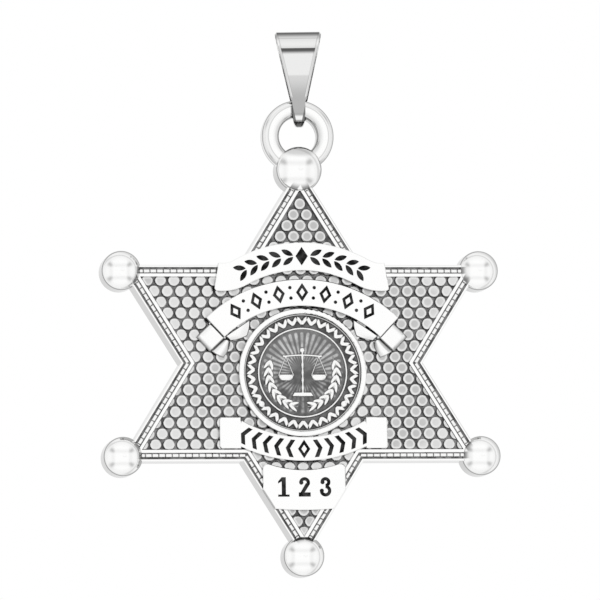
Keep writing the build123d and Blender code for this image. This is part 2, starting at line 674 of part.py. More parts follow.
pieces = {
    "star_body": star_body.part,
    "top_banner": top_banner.part,
    "arch_banner": arch_banner.part,
    "left_tail": left_tail.part,
    "right_tail": right_tail.part,
    "seal_bezel": seal_bezel.part,
    "seal_disc": seal_disc.part,
    "lower_banner": lower_banner.part,
    "number_panel": number_panel.part,
    "bail": Pos(BAIL_ASIDE, 0, 0) * bail.part.rotate(Axis.Z, BAIL_TURN),
}
for name, piece in pieces.items():
    piece.label = name
    export_step(piece, f"parts/{name}.step")
print("swing axis height", round(RING_WIRE_Z - SEAT_Z, 3), "mm")
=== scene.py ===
"""Looks of the silver star badge pendant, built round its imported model.

Everything is in metres in the model's frame: the chain seat is the origin, X runs right, Z up, and the
badge's front faces -Y. The badge's own sizes are in millimetres from the star's centre, with depths from
the plane of the border's rims, negative in front of it.
"""

import math

import bmesh
import bpy
import numpy as np
from mathutils import Matrix, Vector


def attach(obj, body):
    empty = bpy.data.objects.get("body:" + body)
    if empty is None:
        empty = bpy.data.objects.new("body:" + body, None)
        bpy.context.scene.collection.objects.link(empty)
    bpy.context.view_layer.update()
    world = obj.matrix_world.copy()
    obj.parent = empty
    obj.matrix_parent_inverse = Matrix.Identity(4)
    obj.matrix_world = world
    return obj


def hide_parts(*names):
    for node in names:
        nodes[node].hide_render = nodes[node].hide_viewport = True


MM = 0.001
STAR_Z = -26.52             # the star's centre below the chain seat
RIM_Y = -1.2                # the plane of the border's rims

# Border, as in the model: the hexagram along the groove's middle, and what lies beside that line
STAR_REACH = 15.25
STAR_STRETCH = 1.075
BEAD_MIDDLE = -0.23
BEAD_LONG = 0.545
BEAD_GAP = 0.030
BEAD_HALF = 0.152
BEAD_FRONT = -0.01
BEAD_ROUND = 0.10           # how far a bead falls away to its edges
FIELD_EDGE = -0.70

PEBBLE_PITCH_X = 1.078
PEBBLE_PITCH_Z = 0.880
PEBBLE_ROW_Z = 0.50
PEBBLE_RADIUS = 0.478
PEBBLE_FRONT = 0.045
SMALLEST_PEBBLE = 0.12      # the share of a whole pebble below which a part pebble is left out

SEAL_Z = -0.80
SEAL_RADIUS = 4.69
SEAL_FLOOR = -0.10
SEAL_RELIEF = 0.24
SEAL_BACK = 0.045
BEZEL_OUTSIDE = 5.15

RIBBON_LEVEL = -1.75        # the plane of the ribbons' faces
ARCH_TURN = math.radians(43.4)      # where the arch banner ends, about its centre
ARCH_CENTRE_Z = -4.60
ARCH_INSIDE = 9.16
TAIL_BACK = 0.045

RING_Z = 18.32
RING_FRONT_Y = -0.85
RING_SHADE_LINE_RADIUS = 2.44       # radius at which the ring's face rounds off, where a shade line is painted
BAIL_TURN = -8.0            # degrees, and how far it hangs to the right
BAIL_ASIDE = 0.18
BAIL_TOP_Z = 0.28           # heights from the chain seat
BAIL_TOP_HALF = 1.93
BAIL_SHOULDER_Z = -5.12
BAIL_SHOULDER_HALF = 0.70
# the bail's margin width, where highlights are painted, and the height of a painted shade line where its
# fold begins
BAIL_MARGIN = 0.23
BAIL_FOLD_SHADE_Z = -1.32

# The photographer's place: degrees to the right of and above the badge's front, and a slight tilt
CAMERA_AZIMUTH = -8.05
CAMERA_ELEVATION = -5.35
CAMERA_ROLL = -0.75
CAMERA_DISTANCE = 0.7       # metres
CAMERA_LENS = 525
PICTURE_MIDDLE = (-0.165, 5.034)    # right of and above the star's centre

FLOOR_HALF = 12.0           # metres
FLOOR_Z = -0.32

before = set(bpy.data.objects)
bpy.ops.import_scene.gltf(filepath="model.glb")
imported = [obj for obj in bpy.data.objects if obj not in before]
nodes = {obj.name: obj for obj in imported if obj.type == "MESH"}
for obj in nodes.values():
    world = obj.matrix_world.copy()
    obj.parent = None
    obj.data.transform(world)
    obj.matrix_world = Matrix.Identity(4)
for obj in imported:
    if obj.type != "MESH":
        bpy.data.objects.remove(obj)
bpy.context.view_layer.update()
rng = np.random.default_rng(11)


def in_frame(x, depth, z):
    """A point of the badge, from millimetres about the star's centre."""
    return (x * MM, (depth + RIM_Y) * MM, (z + STAR_Z) * MM)


# Shader helpers
def node(tree, kind, values=None, **settings):
    made = tree.nodes.new("ShaderNode" + kind)
    for name, value in settings.items():
        setattr(made, name, value)
    for name, value in (values or {}).items():
        if isinstance(value, bpy.types.NodeSocket):
            tree.links.new(value, made.inputs[name])
        else:
            made.inputs[name].default_value = value
    return made


def maths(tree, operation, first, second=0.0, clamp=False):
    return node(tree, "Math", {0: first, 1: second}, operation=operation, use_clamp=clamp).outputs[0]


def smooth_step(tree, value, start, end):
    """0 below start and 1 above end, or the other way round where start is above end."""
    ramp = node(
        tree,
        "MapRange",
        {"Value": value, "From Min": start, "From Max": end, "To Min": 0.0, "To Max": 1.0},
        interpolation_type="SMOOTHSTEP",
    )
    return ramp.outputs["Result"]


def all_of(tree, *masks):
    """The product of several masks."""
    product = masks[0]
    for mask in masks[1:]:
        product = maths(tree, "MULTIPLY", product, mask)
    return product


def between(tree, value, start, full, fall, end):
    """1 from full to fall, and 0 before start and past end."""
    return all_of(tree, smooth_step(tree, value, start, full), smooth_step(tree, value, end, fall))


def away_from(tree, value, middle):
    return maths(tree, "ABSOLUTE", maths(tree, "SUBTRACT", value, middle))


def in_millimetres(tree, value):
    return maths(tree, "DIVIDE", value, MM)


def blend_colours(tree, share, first, second):
    mix = node(tree, "Mix", data_type="RGBA")
    for socket, value in ((mix.inputs[0], share), (mix.inputs[6], first), (mix.inputs[7], second)):
        if isinstance(value, bpy.types.NodeSocket):
            tree.links.new(value, socket)
        else:
            socket.default_value = value
    return mix.outputs[2]


def grey(level):
    return (level, level, level * 0.995, 1.0)


def shade(tree, metal, mask, level, share=1.0):
    """Lays a grey over the metal where the mask is, at this share."""
    if share < 1:
        mask = maths(tree, "MULTIPLY", mask, share)
    return blend_colours(tree, mask, metal, grey(level))


def effect(name, inputs, outputs):
    """An empty node group with named value or vector sockets, and its input and output nodes."""
    tree = bpy.data.node_groups.new(name, "ShaderNodeTree")
    for label, kind, value in inputs:
        socket = tree.interface.new_socket(label, in_out="INPUT", socket_type=kind)
        if value is not None:
            socket.default_value = value
    for label, kind in outputs:
        tree.interface.new_socket(label, in_out="OUTPUT", socket_type=kind)
    return tree, tree.nodes.new("NodeGroupInput"), tree.nodes.new("NodeGroupOutput")


def use(tree, group, values=None):
    placed = tree.nodes.new("ShaderNodeGroup")
    placed.node_tree = group
    for name, value in (values or {}).items():
        if isinstance(value, bpy.types.NodeSocket):
            tree.links.new(value, placed.inputs[name])
        else:
            placed.inputs[name].default_value = value
    return placed


def make_front_and_depth():
    """Where a point lies: its depth in millimetres behind a given level, and how much it faces the front."""
    tree, given, out = effect(
        "front_and_depth",
        [("Level", "NodeSocketFloat", RIM_Y)],
        [("Depth", "NodeSocketFloat"), ("Facing", "NodeSocketFloat"), ("Up", "NodeSocketFloat")],
    )
    place = node(tree, "TexCoord")
    split = node(tree, "SeparateXYZ", {0: place.outputs["Object"]})
    turned = node(tree, "SeparateXYZ", {0: place.outputs["Normal"]})
    millimetres = in_millimetres(tree, split.outputs["Y"])
    tree.links.new(maths(tree, "SUBTRACT", millimetres, given.outputs["Level"]), out.inputs["Depth"])
    tree.links.new(maths(tree, "MULTIPLY", turned.outputs["Y"], -1.0), out.inputs["Facing"])
    tree.links.new(turned.outputs["Z"], out.inputs["Up"])
    return tree


def make_border_distance():
    """Millimetres outside the middle of the border's groove, negative towards the star's centre."""
    tree, _, out = effect("border_distance", [], [("Distance", "NodeSocketFloat")])
    place = node(tree, "TexCoord")
    split = node(tree, "SeparateXYZ", {0: place.outputs["Object"]})
    x = maths(tree, "ABSOLUTE", in_millimetres(tree, split.outputs["X"]))
    slant = maths(tree, "MULTIPLY", x, math.cos(math.radians(30)) / STAR_STRETCH)
    z = maths(tree, "SUBTRACT", in_millimetres(tree, split.outputs["Z"]), STAR_Z)
    half = maths(tree, "MULTIPLY", z, 0.5)
    upright = maths(tree, "MAXIMUM", maths(tree, "MULTIPLY", z, -1.0), maths(tree, "ADD", slant, half))
    inverted = maths(tree, "MAXIMUM", z, maths(tree, "SUBTRACT", slant, half))
    nearest = maths(tree, "MINIMUM", upright, inverted)
    tree.links.new(maths(tree, "SUBTRACT", nearest, STAR_REACH / 2), out.inputs["Distance"])
    return tree


def make_polish_marks():
    """Fine uneven polish: a cloudy tone, and a normal bent by hairline marks and soft dents."""
    tree, given, out = effect(
        "polish_marks",
        [("Cloud Size", "NodeSocketFloat", 900.0), ("Dents", "NodeSocketFloat", 0.02)],
        [("Cloud", "NodeSocketFloat"), ("Normal", "NodeSocketVector")],
    )
    place = node(tree, "TexCoord")
    at = place.outputs["Object"]
    cloud = node(tree, "TexNoise", {"Vector": at, "Scale": given.outputs["Cloud Size"], "Detail": 3.0})
    fine = node(tree, "TexNoise", {"Vector": at, "Scale": 9000.0, "Detail": 2.0})
    height = maths(tree, "ADD", cloud.outputs["Fac"], maths(tree, "MULTIPLY", fine.outputs["Fac"], 0.25))
    bump = node(tree, "Bump", {"Height": height, "Strength": given.outputs["Dents"], "Distance": 0.0001})
    tree.links.new(cloud.outputs["Fac"], out.inputs["Cloud"])
    tree.links.new(bump.outputs["Normal"], out.inputs["Normal"])
    return tree


def make_blackened_recess():
    """The mask and tone of the blackening left in sunk ground: nothing at the front, full at the floor."""
    tree, given, out = effect(
        "blackened_recess",
        [
            ("Depth", "NodeSocketFloat", 0.0),
            ("Facing", "NodeSocketFloat", 1.0),
            ("Start", "NodeSocketFloat", 0.04),
            ("Full", "NodeSocketFloat", 0.10),
            ("Dark", "NodeSocketFloat", 0.05),
            ("Light", "NodeSocketFloat", 0.16),
        ],
        [("Mask", "NodeSocketFloat"), ("Tone", "NodeSocketColor")],
    )
    place = node(tree, "TexCoord")
    sunk = node(
        tree,
        "MapRange",
        {
            "Value": given.outputs["Depth"],
            "From Min": given.outputs["Start"],
            "From Max": given.outputs["Full"],
        },
        interpolation_type="SMOOTHSTEP",
    ).outputs["Result"]
    level = smooth_step(tree, given.outputs["Facing"], 0.55, 0.8)
    patches = node(tree, "TexNoise", {"Vector": place.outputs["Object"], "Scale": 1700.0, "Detail": 4.0})
    share = smooth_step(tree, patches.outputs["Fac"], 0.35, 0.68)
    tone = node(tree, "Mix", data_type="FLOAT")
    tree.links.new(share, tone.inputs[0])
    tree.links.new(given.outputs["Dark"], tone.inputs[2])
    tree.links.new(given.outputs["Light"], tone.inputs[3])
    mixed = node(tree, "CombineXYZ", {0: tone.outputs[0], 1: tone.outputs[0], 2: tone.outputs[0]})
    tree.links.new(maths(tree, "MULTIPLY", sunk, level), out.inputs["Mask"])
    tree.links.new(mixed.outputs[0], out.inputs["Tone"])
    return tree


front_and_depth = make_front_and_depth()
border_distance = make_border_distance()
polish_marks = make_polish_marks()
blackened_recess = make_blackened_recess()


def silver(name, colour_of, roughness, dents=0.02, rough_patches=0.05):
    """A silver whose colour is worked out by colour_of(tree), with polish marks over it."""
    material = bpy.data.materials.new(name)
    material.use_nodes = True
    tree = material.node_tree
    surface = tree.nodes["Principled BSDF"]
    surface.inputs["Metallic"].default_value = 1.0
    marks = use(tree, polish_marks, {"Dents": dents})
    tree.links.new(colour_of(tree), surface.inputs["Base Color"])
    patchy = maths(tree, "MULTIPLY", marks.outputs["Cloud"], rough_patches)
    tree.links.new(maths(tree, "ADD", patchy, roughness), surface.inputs["Roughness"])
    tree.links.new(marks.outputs["Normal"], surface.inputs["Normal"])
    return material


def shade_ring(tree, metal, depth):
    """Painted shade: a grey inner side, a greyer rounded outer edge, and a fine shade line where the ring's
    face rounds off to its outer edge.
    """
    middle = node(tree, "VectorMath", {0: node(tree, "TexCoord").outputs["Object"]}, operation="DISTANCE")
    middle.inputs[1].default_value = in_frame(0, RING_FRONT_Y - RIM_Y, RING_Z)
    radius = in_millimetres(tree, middle.outputs["Value"])
    # painted shade on the ring's inner side
    metal = shade(tree, metal, smooth_step(tree, radius, 2.15, 1.65), 0.60, share=0.75)
    on_ring = all_of(tree, smooth_step(tree, depth, 0.22, 0.30), smooth_step(tree, radius, 3.10, 3.05))
    # painted shade over the rounded outer edge, and a painted shade line where it begins
    rounded_edge_shade = smooth_step(tree, radius, RING_SHADE_LINE_RADIUS - 0.02, RING_SHADE_LINE_RADIUS + 0.04)
    metal = shade(tree, metal, all_of(tree, on_ring, rounded_edge_shade), 0.86)
    edge_shade_line = smooth_step(tree, away_from(tree, radius, RING_SHADE_LINE_RADIUS), 0.07, 0.02)
    return shade(tree, metal, all_of(tree, on_ring, edge_shade_line), 0.68)


def cast_star_colour(tree):
    """Bright rims and balls, painted shade on the sides, a greyer back, and blackened grooves and field."""
    where = use(tree, front_and_depth, {"Level": RIM_Y})
    depth, facing = where.outputs["Depth"], where.outputs["Facing"]
    border = use(tree, border_distance).outputs["Distance"]
    # painted shade: the sides that turn away from the front are painted grey
    metal = blend_colours(tree, smooth_step(tree, facing, 0.10, 0.42), grey(0.54), grey(0.965))
    metal = shade(tree, metal, smooth_step(tree, facing, -0.2, -0.7), 0.86)
    metal = shade_ring(tree, metal, depth)
    # painted reflection of the dark track, greying the balls' domes where they rise over the border
    in_track = between(tree, border, 0.12, 0.04, -0.42, -0.52)
    dome_foot_reflection = between(tree, depth, -0.01, -0.04, -0.12, -0.50)
    metal = shade(tree, metal, all_of(tree, in_track, dome_foot_reflection), 0.30)
    black = use(
        tree,
        blackened_recess,
        {"Depth": depth, "Start": 0.03, "Full": 0.10, "Dark": 0.08, "Light": 0.24},
    )
    inside_border = all_of(tree, smooth_step(tree, border, 0.14, 0.10), smooth_step(tree, depth, 0.8, 0.6))
    mask = all_of(tree, black.outputs["Mask"], inside_border)
    return blend_colours(tree, mask, metal, black.outputs["Tone"])


def engraved_colour(tree):
    """Bright ribbon faces with blackened engraving, and painted shade on the cut edges, darkest underneath.
    """
    where = use(tree, front_and_depth, {"Level": RIBBON_LEVEL})
    depth, facing = where.outputs["Depth"], where.outputs["Facing"]
    black = use(
        tree,
        blackened_recess,
        {"Depth": depth, "Facing": facing, "Start": 0.06, "Full": 0.10, "Dark": 0.008, "Light": 0.05},
    )
    # painted shade: the cut edges are painted grey, and darker where they face down
    underside_shade = smooth_step(tree, where.outputs["Up"], 0.2, -0.5)
    edge = blend_colours(tree, underside_shade, grey(0.45), grey(0.12))
    sides = smooth_step(tree, facing, 0.1, 0.6)
    metal = blend_colours(tree, sides, edge, grey(0.97))
    return blend_colours(tree, black.outputs["Mask"], metal, black.outputs["Tone"])


def bezel_colour(tree):
    """A bright face, with painted shade greying down its sides."""
    where = use(tree, front_and_depth, {"Level": RIM_Y})
    # painted shade on the sides that turn away from the front
    front = smooth_step(tree, where.outputs["Facing"], 0.05, 0.5)
    return blend_colours(tree, front, grey(0.42), grey(0.965))


def pebble_colour(tree):
    """Satin tops, brighter towards the shoulder, darkening down the sides."""
    from_middle = node(tree, "Attribute", attribute_name="from_middle").outputs["Fac"]
    where = use(tree, front_and_depth, {"Level": RIM_Y})
    place = node(tree, "TexCoord").outputs["Object"]
    patches = node(tree, "TexNoise", {"Vector": place, "Scale": 160.0, "Detail": 2.0}).outputs["Fac"]
    top = blend_colours(tree, smooth_step(tree, patches, 0.35, 0.6), grey(0.54), grey(0.76))
    top = shade(tree, top, smooth_step(tree, from_middle, 0.45, 0.80), 0.86)
    return shade(tree, top, smooth_step(tree, where.outputs["Depth"], 0.13, 0.30), 0.10)


def bead_colour(tree):
    """Bright along a bead's back, greyer at its two ends."""
    to_end = node(tree, "Attribute", attribute_name="from_middle").outputs["Fac"]
    return blend_colours(tree, smooth_step(tree, to_end, 0.70, 1.0), grey(0.94), grey(0.58))


def struck_colour(tree):
    """Bright relief with a painted shade outline round its foot, on dark ground in the band and on cloudy
    ground inside it.
    """
    relief = node(tree, "Attribute", attribute_name="relief").outputs["Fac"]
    in_middle = node(tree, "Attribute", attribute_name="in_middle").outputs["Fac"]
    band, lower, upper = (
        use(tree, blackened_recess, {"Depth": 1.0, "Dark": dark, "Light": light}).outputs["Tone"]
        for dark, light in ((0.08, 0.17), (0.13, 0.42), (0.34, 0.60))
    )
    height = node(tree, "SeparateXYZ", {0: node(tree, "TexCoord").outputs["Object"]}).outputs["Z"]
    height = maths(tree, "SUBTRACT", in_millimetres(tree, height), STAR_Z + SEAL_Z)
    middle = blend_colours(tree, smooth_step(tree, height, -0.5, 0.9), lower, upper)
    middle = shade(tree, middle, smooth_step(tree, relief, 0.12, 0.03), 0.10, share=0.75)
    ground = blend_colours(tree, in_middle, band, middle)
    # painted shade: a dark outline where the relief meets the ground
    ground = shade(tree, ground, smooth_step(tree, relief, 0.17, 0.26), 0.06)
    return shade(tree, ground, smooth_step(tree, relief, 0.28, 0.62), 0.97)


def ribbon_tail_colour(tree):
    """Painted shade: bright where the ribbon lies flat, grey where it rolls away, and dark at its cut edge.
    """
    facing = use(tree, front_and_depth, {"Level": RIM_Y}).outputs["Facing"]
    # painted shade by how far the surface turns from the front
    tone = blend_colours(tree, smooth_step(tree, facing, 0.99, 0.72), grey(0.96), grey(0.36))
    return shade(tree, tone, smooth_step(tree, facing, 0.35, 0.10), 0.16)


def in_strip(tree):
    """The bail's own view: millimetres in from its slanted edge, height, and which way its faces turn."""
    place = node(tree, "TexCoord")
    moved = node(tree, "VectorMath", {0: place.outputs["Object"]}, operation="SUBTRACT")
    moved.inputs[1].default_value = (BAIL_ASIDE * MM, 0, 0)
    turn = -math.radians(BAIL_TURN)
    turned = node(tree, "VectorRotate", {"Vector": moved.outputs[0], "Angle": turn})
    normal = node(tree, "VectorRotate", {"Vector": place.outputs["Normal"], "Angle": turn})
    split = node(tree, "SeparateXYZ", {0: turned.outputs[0]})
    x = maths(tree, "ABSOLUTE", in_millimetres(tree, split.outputs["X"]))
    z = in_millimetres(tree, split.outputs["Z"])
    taper = (BAIL_TOP_HALF - BAIL_SHOULDER_HALF) / (BAIL_TOP_Z - BAIL_SHOULDER_Z)
    below = maths(tree, "MULTIPLY", maths(tree, "SUBTRACT", z, BAIL_TOP_Z), taper)
    inside = maths(tree, "SUBTRACT", maths(tree, "ADD", BAIL_TOP_HALF, below), x)
    return inside, z, node(tree, "SeparateXYZ", {0: normal.outputs[0]}).outputs


def bail_colour(tree):
    """Mirror strip with painted light and shade: painted highlights on its margins and near its tip, painted
    shade stepping down to its foot, on its top, sides and edges, and in lines along its margins and where
    its fold begins.
    """
    inside, z, normal = in_strip(tree)
    on_taper = smooth_step(tree, z, BAIL_SHOULDER_Z - 0.1, BAIL_SHOULDER_Z + 0.1)
    # painted shade: a darker step, then darkening down to the foot
    strip = blend_colours(tree, smooth_step(tree, z, -3.30, -3.48), grey(0.82), grey(0.66))
    strip = shade(tree, strip, smooth_step(tree, z, -3.4, -5.3), 0.45)
    # painted highlight: a glint across the strip near its tip
    strip = shade(tree, strip, between(tree, z, -6.50, -6.72, -6.86, -7.02), 0.90)
    # painted highlights on the margins, with a painted shade line along them
    margin_highlight = all_of(tree, smooth_step(tree, inside, BAIL_MARGIN, BAIL_MARGIN - 0.04), on_taper)
    strip = shade(tree, strip, margin_highlight, 0.95)
    margin_shade_line = smooth_step(tree, away_from(tree, inside, BAIL_MARGIN), 0.07, 0.02)
    strip = shade(tree, strip, all_of(tree, margin_shade_line, on_taper), 0.40, share=0.5)
    # painted shade on the top, where the faces turn up
    strip = shade(tree, strip, smooth_step(tree, normal["Z"], 0.55, 0.80), 0.35, share=0.5)
    strip = shade(tree, strip, smooth_step(tree, normal["Z"], 0.80, 0.92), 0.16)
    # painted shade line where the fold begins
    fold_shade_line = all_of(
        tree,
        between(tree, maths(tree, "SUBTRACT", z, BAIL_FOLD_SHADE_Z), 0.15, 0.08, -0.06, -0.42),
        smooth_step(tree, inside, BAIL_MARGIN - 0.06, BAIL_MARGIN),
        smooth_step(tree, normal["Y"], -0.5, -0.8),
    )
    strip = shade(tree, strip, fold_shade_line, 0.10)
    # painted shade along the edges, and on the sides that turn sideways
    strip = shade(tree, strip, smooth_step(tree, inside, 0.06, 0.02), 0.20)
    return shade(tree, strip, smooth_step(tree, maths(tree, "ABSOLUTE", normal["X"]), 0.80, 0.95), 0.40)


materials = {
    "cast_star": silver("cast_star_silver", cast_star_colour, 0.06),
    "engraved": silver("engraved_ribbon_silver", engraved_colour, 0.06, dents=0.015),
    "bezel": silver("bezel_silver", bezel_colour, 0.06),
    "pebble": silver("pebble_silver", pebble_colour, 0.26, dents=0.10),
    "bead": silver("border_bead_silver", bead_colour, 0.16),
    "struck": silver("struck_seal_silver", struck_colour, 0.20, dents=0.05),
    "tail": silver("ribbon_tail_silver", ribbon_tail_colour, 0.10),
    "bail": silver("bail_silver", bail_colour, 0.05, dents=0.01),
}


def dress(piece, material):
    piece.data.materials.clear()
    piece.data.materials.append(materials[material])


for name, material in (
    ("star_body", "cast_star"),
    ("top_banner", "engraved"),
    ("arch_banner", "engraved"),
    ("lower_banner", "engraved"),
    ("number_panel", "engraved"),
    ("seal_bezel", "bezel"),
    ("bail", "bail"),
):
    dress(nodes[name], material)


# Mesh helpers
def mesh_piece(name, points, faces, material, body="star", shares=None):
    """A smooth-shaded piece from points in millimetres about the star's centre, with named point values."""
    mesh = bpy.data.meshes.new(name)
    mesh.from_pydata([in_frame(*point) for point in points], [], faces)
    for label, values in (shares or {}).items():
        layer = mesh.attributes.new(label, "FLOAT", "POINT")
        layer.data.foreach_set("value", np.asarray(values, dtype=np.float32))
    mesh.validate()
    shape = bmesh.new()
    shape.from_mesh(mesh)
    bmesh.ops.recalc_face_normals(shape, faces=shape.faces)
    shape.to_mesh(mesh)
    shape.free()
    mesh.shade_smooth()
    piece = bpy.data.objects.new(name, mesh)
    bpy.context.scene.collection.objects.link(piece)
    dress(piece, material)
    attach(piece, body)
    return piece


def star_points(outward):
    """The hexagram's tips and notches, clockwise from the top, grown by this much."""
    points = []
    for step in range(12):
        reach = STAR_REACH if step % 2 == 0 else STAR_REACH / math.sqrt(3)
        turn = math.radians(30 * step)
        points.append(Vector((reach * math.sin(turn) * STAR_STRETCH, reach * math.cos(turn))))
    moved = []
    for step, point in enumerate(points):
        before, after = points[step - 1], points[(step + 1) % 12]
        normals = []
        for start, end in ((before, point), (point, after)):
            along = (end - start).normalized()
            normals.append(Vector((-along.y, along.x)))
        lean = (normals[0] + normals[1]).normalized()
        moved.append(point + lean * (outward / lean.dot(normals[0])))
    return moved


def triangle_sides(upright, outward):
    """The three sides of one of the star's two triangles: facing directions and distances out."""
    slope = math.cos(math.radians(30)) / STAR_STRETCH
    sign = 1 if upright else -1
    sides = []
    for x, z in ((0, -1), (slope, 0.5), (-slope, 0.5)):
        facing = Vector((x, z * sign))
        sides.append((facing.normalized(), STAR_REACH / 2 / facing.length + outward))
    return sides


def cut_by(outline, sides):
    """The part of a convex outline that lies inside all the sides."""
    for facing, limit in sides:
        kept = []
        for step, point in enumerate(outline):
            before = outline[step - 1]
            room, room_before = limit - facing.dot(point), limit - facing.dot(before)
            if room * room_before < 0:
                kept.append(before.lerp(point, room_before / (room_before - room)))
            if room >= 0:
                kept.append(point)
        outline = kept
        if len(outline) < 3:
            return []
    return outline


def area(outline):
    """The area inside an outline."""
    return abs(sum(outline[step - 1].cross(point) for step, point in enumerate(outline))) / 2


def make_pebbles():
    """Rounded caps over the field's studs, and the part pebbles that the border's inner rim cuts."""
    profile = (        # share of the radius, depth behind the crown
        (0.45, 0.000),
        (0.70, 0.004),
        (0.84, 0.018),
        (0.93, 0.048),
        (0.985, 0.105),
        (1.00, 0.180),
        (1.00, 0.360),
    )
    around = 24
    hidden = 0.48           # how far inside the bezel's outside a pebble's middle is left out
    points, faces, share = [], [], []
    field = [triangle_sides(upright, FIELD_EDGE) for upright in (True, False)]
    rows = int(STAR_REACH / PEBBLE_PITCH_Z) + 1
    columns = int(STAR_REACH / PEBBLE_PITCH_X) + 1
    for row in range(-rows, rows + 1):
        z = PEBBLE_ROW_Z + row * PEBBLE_PITCH_Z
        for column in range(-columns, columns + 1):
            x = (column + 0.5 * (row % 2)) * PEBBLE_PITCH_X
            if math.hypot(x, z - SEAL_Z) < BEZEL_OUTSIDE - hidden:
                continue
            size = PEBBLE_RADIUS * rng.uniform(0.98, 1.01)
            crown = PEBBLE_FRONT + rng.uniform(-0.006, 0.012)
            turns = [2 * math.pi * step / around for step in range(around)]
            circle = [Vector((x + size * math.cos(turn), z + size * math.sin(turn))) for turn in turns]
            outline = max((cut_by(circle, sides) for sides in field), key=area)
            if area(outline) < SMALLEST_PEBBLE * area(circle):
                continue
            middle = sum(outline, Vector((0, 0))) / len(outline)
            first, count = len(points), len(outline)
            points.append((middle.x, crown, middle.y))
            share.append(0.0)
            for out, deep in profile:
                for corner in outline:
                    place = middle.lerp(corner, out)
                    points.append((place.x, crown + deep, place.y))
                    share.append(out)
            for step in range(count):
                after = (step + 1) % count
                faces.append((first, first + 1 + step, first + 1 + after))
                for ring in range(len(profile) - 1):
                    low = first + 1 + ring * count
                    faces.append((low + step, low + count + step, low + count + after, low + after))
    return mesh_piece("pebbles", points, faces, "pebble", shares={"from_middle": share})


def make_border_beads():
    """The pillow-shaped beads of the border, laid end to end along each edge and mitred at its corners."""
    outer, inner = star_points(BEAD_MIDDLE + BEAD_HALF), star_points(BEAD_MIDDLE - BEAD_HALF)
    middle = star_points(BEAD_MIDDLE)
    along_steps, across_steps = 11, 7
    points, faces, share = [], [], []
    for side in range(12):
        after = (side + 1) % 12
        start, end = middle[side], middle[after]
        length = (end - start).length
        along = (end - start).normalized()
        across = Vector((-along.y, along.x))
        count = round(length / BEAD_LONG)
        for bead in range(count):
            first = len(points)
            low = length * bead / count + BEAD_GAP / 2
            high = length * (bead + 1) / count - BEAD_GAP / 2
            for i in range(along_steps):
                u = i / (along_steps - 1)
                for j in range(across_steps):
                    v = j / (across_steps - 1)
                    nearest = (outer[side].lerp(inner[side], v) - start).dot(along)
                    farthest = (outer[after].lerp(inner[after], v) - start).dot(along)
                    reach = min(max(low + (high - low) * u, nearest), farthest)
                    place = start + along * reach + across * (1 - 2 * v) * BEAD_HALF
                    rim = max(abs(2 * u - 1) ** 5, abs(2 * v - 1) ** 2.6)
                    fall = 1 - math.sqrt(1 - min(1.0, rim) ** 1.5)
                    points.append((place.x, BEAD_FRONT + BEAD_ROUND * fall, place.y))
                    share.append(abs(2 * u - 1) ** 2)
            for i in range(along_steps - 1):
                for j in range(across_steps - 1):
                    corner = first + i * across_steps + j
                    faces.append((corner, corner + 1, corner + across_steps + 1, corner + across_steps))
    return mesh_piece("border_beads", points, faces, "bead", shares={"from_middle": share})


# The seal's face, as a relief over a fine polar grid
def ridge(distance, half):
    """A half-round wire in section: 1 along its middle, 0 outside its half width."""
    return np.sqrt(np.clip(1 - (distance / half) ** 2, 0, 1))


def leaf_relief(x, z, at_x, at_z, turn, long, wide):
    """A pointed, domed leaf with a vein, lying along the direction turn, in radians."""
    u = (x - at_x) * math.cos(turn) + (z - at_z) * math.sin(turn)
    v = -(x - at_x) * math.sin(turn) + (z - at_z) * math.cos(turn)
    half = wide / 2 * np.clip(1 - (2 * u / long) ** 2, 0.0, 1) + 1e-6
    body = np.where(np.abs(u) < long / 2, ridge(v, half), 0)
    return body * (1 - 0.35 * np.exp(-((v / 0.025) ** 2)))


def bar_relief(x, z, start, end, half):
    """A rounded bar between two points."""
    start, end = np.array(start), np.array(end)
    along = end - start
    share = np.clip(((x - start[0]) * along[0] + (z - start[1]) * along[1]) / (along @ along), 0, 1)
    gap = np.hypot(x - start[0] - share * along[0], z - start[1] - share * along[1])
    return ridge(gap, half)


def highest(forms):
    return np.maximum.reduce(forms)


def leaf_band(x, z):
    """Paired leaves round the band in a long and a short stretch, with a round stud between the two."""
    radius, spread, lean_by = 4.17, 0.19, 24
    forms = []
    long_stretch = [238 * (step / 22 - 0.5) for step in range(23)]
    short_stretch = [180 + 88 * (step / 8 - 0.5) for step in range(9)]
    for angle in long_stretch + short_stretch:
        for lean in (1, -1):
            bearing = math.radians(angle + lean * math.degrees(spread / radius))
            place = (radius * math.sin(bearing), radius * math.cos(bearing))
            direction = math.radians(90 - lean * lean_by) - bearing
            forms.append(leaf_relief(x, z, *place, direction, long=0.80, wide=0.38))
    for bearing in (math.radians(127), math.radians(-127)):
        from_stud = np.hypot(x - radius * math.sin(bearing), z - radius * math.cos(bearing))
        forms.append(ridge(from_stud, 0.30))
    return highest(forms)


def laurel_spray(x, z, side):
    """A curved stem with paired leaves, from the foot up one side of the seal's middle."""
    radius, spread, lean_by = 2.75, 0.19, 24
    turn = side * np.degrees(np.arctan2(x, z))
    forms = [0.5 * ridge(np.hypot(x, z) - radius, 0.05) * ((turn > 60) & (turn < 172))]
    for step in range(8):
        bearing = math.radians(side * (180 - 16 - 12.5 * step))
        for lean in (1, -1):
            out = radius + lean * spread
            place = (out * math.sin(bearing), out * math.cos(bearing))
            direction = math.radians(side * lean * lean_by) - bearing
            forms.append(0.9 * leaf_relief(x, z, *place, direction, long=0.90, wide=0.34))
    return highest(forms)


